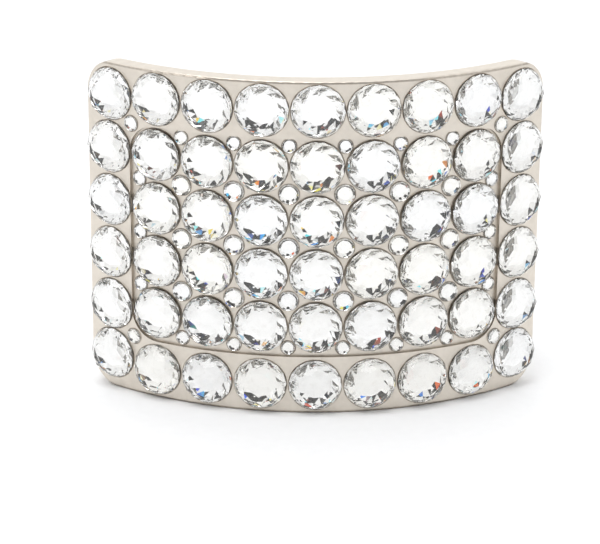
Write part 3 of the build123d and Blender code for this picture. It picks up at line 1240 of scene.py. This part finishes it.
# --------------------------------------------------------------------------- plate
@dataclass
class FacePlate:
    """The curved plate with its sunk field and cups."""

    drum: Drum
    finishes: FinishSet
    rim: float = 0.7 * MM
    # Share of brown painted shade on the walls of the cups and of the sunk field.
    wall_shade_share: float = 0.42
    blend_angle: float = math.radians(32.0)
    half_arc: float = 33.6 * MM
    height: float = 46.2 * MM
    corner: float = 4.5 * MM
    corner_band: float = 0.35 * MM
    back_margin: float = 0.4 * MM
    steepest: float = 0.6
    curved_match: float = 0.9985

    def rounded(self, place: Vector) -> Vector | None:
        """Direction away from the nearest rounded corner's centre, within the plate's surface.

        Args:
            place: a point of the plate.

        Returns:
            The unit vector, or None for a point that isn't on a rounded corner's edge.
        """
        angle = math.atan2(place.x, self.drum.axis_y - place.y)
        arc = angle * self.drum.outside
        side = abs(arc) - (self.half_arc - self.corner)
        rise = abs(place.z - self.height / 2) - (self.height / 2 - self.corner)
        reach = math.hypot(side, rise)
        if side < 0.0 or rise < 0.0 or reach < self.corner - self.corner_band:
            return None
        across = self.drum.along(angle) * math.copysign(side, arc)
        return (across + Vector((0.0, 0.0, math.copysign(rise, place.z - self.height / 2)))) / reach

    def outward(self, place: Vector) -> Vector:
        """Unit vector from the drum's axis through a place."""
        return Vector((place.x, place.y - self.drum.axis_y, 0.0)).normalized()

    def shade_walls(self, mesh: bpy.types.Mesh) -> None:
        """Mark the walls of the cups and of the sunk field for the painted shade.

        Args:
            mesh: the plate.
        """
        low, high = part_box("face_plate")
        wall = mesh.attributes.new("wall", "FLOAT", "FACE")
        for face in mesh.polygons:
            centre = face.center
            radius = math.hypot(centre.x, centre.y - self.drum.axis_y)
            inner = low.z + self.rim < centre.z < high.z - self.rim and abs(centre.x) < high.x - self.rim
            front = radius > self.drum.inside + self.back_margin
            steep = abs(face.normal.dot(self.outward(centre))) < self.steepest
            # Steep front faces inside the rim, off the rounded corners, get the painted shade.
            in_shade = inner and front and steep and self.rounded(centre) is None
            wall.data[face.index].value = self.wall_shade_share if in_shade else 0.0

    def true_normals(self, mesh: bpy.types.Mesh) -> None:
        """Give curved faces the drum's own normals, and blend the faces of the rounded edges.

        Args:
            mesh: the plate.
        """
        points = [corner.co.copy() for corner in mesh.vertices]
        facts = [
            (face.normal.copy(), face.area, tuple(face.vertices), face.center.copy())
            for face in mesh.polygons
        ]
        curved = [
            abs(normal.dot(self.outward(centre))) > self.curved_match for normal, _, _, centre in facts
        ]
        around: dict[int, list[tuple[Vector, float]]] = {}
        for (normal, area, corners, _), bent in zip(facts, curved):
            for corner in () if bent else corners:
                around.setdefault(corner, []).append((normal, area))
        least = math.cos(self.blend_angle)
        normals = []
        for (own, _, corners, centre), bent in zip(facts, curved):
            at_corner = not bent and self.rounded(centre) is not None
            for corner in corners:
                out = self.outward(points[corner])
                if bent:
                    normals.append(out if own.dot(out) > 0 else -out)
                    continue
                turned = self.rounded(points[corner]) if at_corner else None
                if turned is not None:
                    lean = own.dot(out)
                    normals.append(out * lean + turned * math.sqrt(max(0.0, 1.0 - lean * lean)))
                    continue
                blend = Vector((0.0, 0.0, 0.0))
                for normal, area in around[corner]:
                    if normal.dot(own) > least:
                        blend += normal * area
                normals.append(blend.normalized())
        mesh.normals_split_custom_set(normals)

    def build(self) -> None:
        """Copy the plate, give it true normals and plate it."""
        piece = merged_copy("face_plate", "curved_plate")
        piece.data.shade_smooth()
        self.shade_walls(piece.data)
        self.true_normals(piece.data)
        dressed(piece, "base", "plate_metal", self.finishes.plate, "face_plate")


# --------------------------------------------------------------------------- clasp
@dataclass
class Clasp:
    """Base bar, leaf spring, rivets, hinge pin, catch and swinging arm."""

    finishes: FinishSet
    rib_half_length: float = 17.0 * MM
    rib_half_width: float = 1.5 * MM
    rib_height: float = 0.5 * MM
    rib_stations: int = 40
    rib_spans: int = 10
    rib_run_in: float = 7.0
    rib_end_power: int = 14
    rib_edge_sink: float = 0.03 * MM
    rib_root: float = 0.12 * MM
    crease: float = math.radians(50)
    bar_radius: float = 0.13 * MM
    bar_length: float = 5.0 * MM
    bar_count: int = 5
    bar_pitch: float = 0.42 * MM
    first_bar: float = 2.3 * MM
    bar_sides: int = 12
    flat: float = 0.7
    metal_crease: float = math.radians(40)

    def arm_back(self, tree: BVHTree, x: float, z: float) -> float:
        """Where the arm's back stands at a place.

        Args:
            tree: the arm's surface.
            x: place along the arm.
            z: height of the place.

        Returns:
            The surface's y.
        """
        hit, _, _, _ = tree.ray_cast(Vector((x, 0.05, z)), Vector((0.0, -1.0, 0.0)))
        return hit.y

    def rib(self, tree: BVHTree, middle: float) -> None:
        """Emboss a long rib on the arm's back.

        Args:
            tree: the arm's surface.
            middle: height of the arm's middle line.
        """
        stations, spans = self.rib_stations, self.rib_spans
        graph = bmesh.new()
        loops = []
        for station in range(stations + 1):
            along = 2.0 * station / stations - 1.0
            x = along * self.rib_half_length
            rise = self.rib_height * min(1.0, self.rib_run_in * (1.0 - abs(along))) ** 0.5
            width = self.rib_half_width * math.sqrt(max(0.02, 1.0 - abs(along) ** self.rib_end_power))
            base = self.arm_back(tree, x, middle)
            loop = []
            for span in range(spans + 1):
                across = 2.0 * span / spans - 1.0
                lift = rise * (0.5 + 0.5 * math.cos(math.pi * across)) - self.rib_edge_sink
                loop.append(graph.verts.new((x, base + lift, middle + across * width)))
            for side in (1.0, -1.0):
                loop.append(graph.verts.new((x, base - self.rib_root, middle + side * width)))
            loops.append(loop)
        count = spans + 3
        for first, second in zip(loops, loops[1:]):
            for index in range(count):
                after = (index + 1) % count
                graph.faces.new((first[index], first[after], second[after], second[index]))
        graph.faces.new(loops[0])
        graph.faces.new(loops[-1])
        bmesh.ops.recalc_face_normals(graph, faces=graph.faces)
        mesh = bpy.data.meshes.new("arm_rib")
        graph.to_mesh(mesh)
        graph.free()
        mesh.shade_smooth()
        mesh.set_sharp_from_angle(angle=self.crease)
        dressed(linked("arm_rib", mesh), "arm", "clasp_steel", self.finishes.nickel)

    def thumb_bars(self, tree: BVHTree, middle: float) -> None:
        """Set the grip bars on the thumb lip by Geometry Nodes.

        Args:
            tree: the arm's surface.
            middle: height of the arm's middle line.
        """
        _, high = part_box("clasp_arm")
        start = high.x - self.first_bar
        points = []
        for index in range(self.bar_count):
            x = start + index * self.bar_pitch
            points.append((x, self.arm_back(tree, x, middle), middle))
        mesh = bpy.data.meshes.new("thumb_bars")
        mesh.from_pydata(points, [], [])
        weave = Weave("thumb_bar_row")
        radius = weave.value("Bar Radius", "NodeSocketFloat", self.bar_radius)
        length = weave.value("Bar Length", "NodeSocketFloat", self.bar_length)
        steel = weave.value("Steel", "NodeSocketMaterial", self.finishes.nickel)
        bar = weave.feed(
            weave.node("GeometryNodeMeshCylinder"), Vertices=self.bar_sides, Radius=radius, Depth=length
        )
        placed = weave.feed(
            weave.node("GeometryNodeInstanceOnPoints"),
            Points=weave.source.outputs["Geometry"],
            Instance=bar.outputs["Mesh"],
        )
        weave.finish(placed.outputs[0], steel)
        piece = weave.run(linked("thumb_bars", mesh))
        piece.data.shade_smooth()
        piece.data.set_sharp_from_angle(angle=self.crease)
        dressed(piece, "arm", "clasp_steel", None)

    def build(self) -> None:
        """Build every piece of the clasp."""
        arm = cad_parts["clasp_arm"].data
        tree = BVHTree.FromPolygons(
            [corner.co for corner in arm.vertices], [tuple(face.vertices) for face in arm.polygons]
        )
        low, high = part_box("clasp_arm")
        self.rib(tree, (low.z + high.z) / 2)
        self.thumb_bars(tree, (low.z + high.z) / 2)
        nickel = self.finishes.nickel
        bright = self.finishes.bright_nickel
        spring = self.finishes.spring
        plan: tuple[tuple[str, str, float, str, str, bpy.types.Material], ...] = (
            ("clasp_base", "base_bar", 0.09, "base", "clasp_steel", nickel),
            ("tension_spring", "leaf_spring", 0.05, "base", "spring_steel", spring),
            ("base_rivets", "domed_rivets", 0.05, "base", "rivet_metal", bright),
            ("hinge_pin", "peened_pin", 0.05, "base", "rivet_metal", bright),
            ("catch_block", "cast_catch", 0.12, "base", "catch_metal", self.finishes.casting),
            ("catch_rivet", "flush_rivet", 0.04, "base", "rivet_metal", bright),
            ("clasp_arm", "swing_arm", 0.09, "arm", "clasp_steel", nickel),
            ("catch_prong_upper", "upper_prong", 0.06, "prong_upper", "spring_steel", spring),
            ("catch_prong_lower", "lower_prong", 0.06, "prong_lower", "spring_steel", spring),
        )
        for node, name, edge, body, slot, material in plan:
            piece = eased(merged_copy(node, name, self.flat), edge * MM)
            piece.data.set_sharp_from_angle(angle=self.metal_crease)
            dressed(piece, body, slot, material, node)


# --------------------------------------------------------------------------- studio
@dataclass(frozen=True)
class DomePattern:
    """Angles from the camera's direction in degrees, sizes and levels of the dome's parts."""

    stand_edge: float = 9.5
    stand_full: float = 9.0
    reach_edge: float = 54.0
    reach_full: float = 30.0
    reach_lift: float = 0.20
    clutter: float = 4.2
    clutter_edge: tuple[float, float] = (0.69, 0.695)
    darkening: float = 0.98
    panels: float = 2.6
    panel_gain: float = 0.45
    panel_floor: float = 0.74
    back: tuple[float, float, float] = (0.0, 0.92, 0.39)
    back_edge: tuple[float, float] = (0.45, 0.85)
    back_glow: float = 0.26


class Sky:
    """Shader graph of the dome of light."""

    def __init__(self, tree: bpy.types.NodeTree, pattern: DomePattern) -> None:
        """Clear the world's tree.

        Args:
            tree: the world's node tree.
            pattern: the dome's measures.
        """
        self.tree = tree
        self.pattern = pattern
        tree.nodes.clear()
        self.place = tree.nodes.new("ShaderNodeTexCoord")

    def maths(
        self, operation: str, first: bpy.types.NodeSocket, second: bpy.types.NodeSocket | float
    ) -> bpy.types.NodeSocket:
        """One sum of two values.

        Args:
            operation: the sum.
            first: first value.
            second: second value or number.

        Returns:
            The result socket.
        """
        node = self.tree.nodes.new("ShaderNodeMath")
        node.operation = operation
        self.tree.links.new(first, node.inputs[0])
        if isinstance(second, float):
            node.inputs[1].default_value = second
        else:
            self.tree.links.new(second, node.inputs[1])
        return node.outputs[0]

    def ramp(self, value: bpy.types.NodeSocket, start: float, end: float) -> bpy.types.NodeSocket:
        """Rise from 0 to 1 between two values.

        Args:
            value: the value socket.
            start: value that gives 0.
            end: value that gives 1.

        Returns:
            The result socket.
        """
        node = self.tree.nodes.new("ShaderNodeMapRange")
        node.inputs["From Min"].default_value = start
        node.inputs["From Max"].default_value = end
        self.tree.links.new(value, node.inputs["Value"])
        return node.outputs["Result"]

    def facing(self, source: bpy.types.NodeSocket, toward: Vector) -> bpy.types.NodeSocket:
        """How far a direction faces another, as their dot product.

        Args:
            source: the direction's socket.
            toward: the other direction.

        Returns:
            The value socket.
        """
        node = self.tree.nodes.new("ShaderNodeVectorMath")
        node.operation = "DOT_PRODUCT"
        node.inputs[1].default_value = toward
        self.tree.links.new(source, node.inputs[0])
        return node.outputs["Value"]

    def noise(self, source: bpy.types.NodeSocket, scale: float, detail: float) -> bpy.types.NodeSocket:
        """Cloudy noise over the dome.

        Args:
            source: the direction's socket.
            scale: blotches across the dome.
            detail: octaves.

        Returns:
            The value socket.
        """
        node = self.tree.nodes.new("ShaderNodeTexNoise")
        node.inputs["Scale"].default_value = scale
        node.inputs["Detail"].default_value = detail
        self.tree.links.new(source, node.inputs["Vector"])
        return node.outputs["Fac"]

    def cosines(self, *degrees: float) -> tuple[float, ...]:
        """Cosines of angles in degrees."""
        return tuple(math.cos(math.radians(angle)) for angle in degrees)

    def level(self, toward: Vector, shift: float) -> bpy.types.NodeSocket:
        """Brightness of the dome for one colour.

        Args:
            toward: direction of the camera.
            shift: degrees that the pattern is turned by, which splits edges into colours.

        Returns:
            The brightness socket.
        """
        turn = self.tree.nodes.new("ShaderNodeMapping")
        turn.inputs["Rotation"].default_value = (math.radians(shift), 0.0, math.radians(shift))
        self.tree.links.new(self.place.outputs["Generated"], turn.inputs["Vector"])
        turned = turn.outputs["Vector"]
        plain = self.place.outputs["Generated"]
        shape = self.pattern
        facing = self.facing(turned, toward)
        stand = self.ramp(facing, *self.cosines(shape.stand_edge, shape.stand_full))
        reach = self.ramp(facing, *self.cosines(shape.reach_edge, shape.reach_full))
        clutter = self.noise(turned, shape.clutter, 1.0)
        raised = self.maths("ADD", clutter, self.maths("MULTIPLY", reach, shape.reach_lift))
        dark = self.maths("MAXIMUM", stand, self.ramp(raised, *shape.clutter_edge))
        panels = self.noise(plain, shape.panels, 2.0)
        soft = self.maths("ADD", self.maths("MULTIPLY", panels, shape.panel_gain), shape.panel_floor)
        behind = self.ramp(self.facing(plain, Vector(shape.back)), *shape.back_edge)
        base = self.maths("ADD", soft, self.maths("MULTIPLY", behind, shape.back_glow))
        clear = self.maths("SUBTRACT", self.maths("MULTIPLY", dark, -shape.darkening), -1.0)
        return self.maths("MULTIPLY", base, clear)

    def light(self, levels: Sequence[bpy.types.NodeSocket], strength: float) -> None:
        """Finish the dome.

        Args:
            levels: brightness of red, green and blue.
            strength: the dome's strength.
        """
        output = self.tree.nodes.new("ShaderNodeOutputWorld")
        light = self.tree.nodes.new("ShaderNodeBackground")
        colour = self.tree.nodes.new("ShaderNodeCombineColor")
        for socket, level in zip(colour.inputs, levels):
            self.tree.links.new(level, socket)
        self.tree.links.new(colour.outputs[0], light.inputs["Color"])
        light.inputs["Strength"].default_value = strength
        self.tree.links.new(light.outputs[0], output.inputs["Surface"])


@dataclass(frozen=True)
class Studio:
    """White sweep, dome of light, a soft box and the camera."""

    finishes: FinishSet
    drum: Drum
    plan: SeatPlan
    azimuth: float = -1.18
    elevation: float = 20.39
    roll: float = -0.48
    distance: float = 333.0 * MM
    lens: float = 152.2
    sensor: float = 36.0
    clipping: tuple[float, float] = (0.01, 20.0)
    aim_right: float = -2.18 * MM
    aim_up: float = -2.94 * MM
    fire: float = 0.3
    dome_strength: float = 1.02
    paper_half: float = 4.0
    box_place: tuple[float, float, float] = (-0.15, -0.25, 0.75)
    box_aim: tuple[float, float, float] = (0.0, 0.0, 0.02)
    box_size: float = 0.5
    box_power: float = 2.6

    def floor(self) -> None:
        """Lay the paper."""
        half = self.paper_half
        mesh = bpy.data.meshes.new("paper")
        corners = [(-half, -half, 0), (half, -half, 0), (half, half, 0), (-half, half, 0)]
        mesh.from_pydata(corners, [], [(0, 1, 2, 3)])
        mesh.materials.append(self.finishes.paper)
        sheet = linked("paper", mesh)
        sheet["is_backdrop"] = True

    def view_axes(self) -> tuple[Vector, Vector, Vector]:
        """The camera's right, up and forward directions.

        Returns:
            Three unit vectors.
        """
        around = Matrix.Rotation(math.radians(self.azimuth), 3, "Z")
        tilt = math.radians(self.elevation)
        forward = Vector((0.0, math.cos(tilt), -math.sin(tilt)))
        up = Vector((0.0, math.sin(tilt), math.cos(tilt)))
        right = Vector((1.0, 0.0, 0.0))
        c, s = math.cos(math.radians(self.roll)), math.sin(math.radians(self.roll))
        rolled_right = c * right - s * up
        rolled_up = s * right + c * up
        return around @ rolled_right, around @ rolled_up, around @ forward

    def camera(self) -> None:
        """Stand the camera in front of the clip, a little above it."""
        right, up, forward = self.view_axes()
        front = self.drum.point(self.drum.outside, 0.0, self.plan.middle)
        aim = front + self.aim_right * right + self.aim_up * up
        data = bpy.data.cameras.new("camera")
        data.lens = self.lens
        data.sensor_width = self.sensor
        data.clip_start, data.clip_end = self.clipping
        camera = bpy.data.objects.new("camera", data)
        basis = Matrix((right, up, -forward)).transposed()
        camera.matrix_world = Matrix.Translation(aim - self.distance * forward) @ basis.to_4x4()
        bpy.context.scene.collection.objects.link(camera)
        bpy.context.scene.camera = camera

    def lamp(self, name: str, place: Vector, size: float, power: float) -> None:
        """Hang a square soft box that faces the clip.

        Args:
            name: the lamp's name.
            place: where it hangs.
            size: side length.
            power: watts.
        """
        data = bpy.data.lights.new(name, "AREA")
        data.shape = "SQUARE"
        data.size = size
        data.energy = power
        lamp = bpy.data.objects.new(name, data)
        lamp.location = place
        lamp.rotation_mode = "QUATERNION"
        lamp.rotation_quaternion = (Vector(self.box_aim) - place).to_track_quat("-Z", "Y")
        bpy.context.scene.collection.objects.link(lamp)

    def dome(self) -> None:
        """White dome, darker and broken up round the camera, that the crystals sparkle with."""
        world = bpy.data.worlds.new("dome")
        world.use_nodes = True
        sky = Sky(world.node_tree, DomePattern())
        _, _, forward = self.view_axes()
        levels = [sky.level(-forward, shift) for shift in (-self.fire, 0.0, self.fire)]
        sky.light(levels, self.dome_strength)
        bpy.context.scene.world = world

    def build(self) -> None:
        """Set up the studio."""
        self.floor()
        self.dome()
        self.lamp("top_box", Vector(self.box_place), self.box_size, self.box_power)
        self.camera()
        bpy.context.scene.view_settings.view_transform = "Standard"


def corners() -> list[list[float]]:
    """The shown object's lowest and highest corner as plain lists."""
    return [list(corner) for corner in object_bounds()]


def main() -> None:
    """Build the clip and its studio."""
    logging.basicConfig(level=logging.INFO, format="%(name)s: %(message)s")
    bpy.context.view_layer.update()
    finishes = FinishSet.make()
    drum = Drum()
    plan = SeatPlan()
    FacePlate(drum, finishes).build()
    Crystals(drum, plan, finishes).build()
    Clasp(finishes).build()
    Studio(finishes, drum, plan).build()


if __name__ == "__main__":
    main()
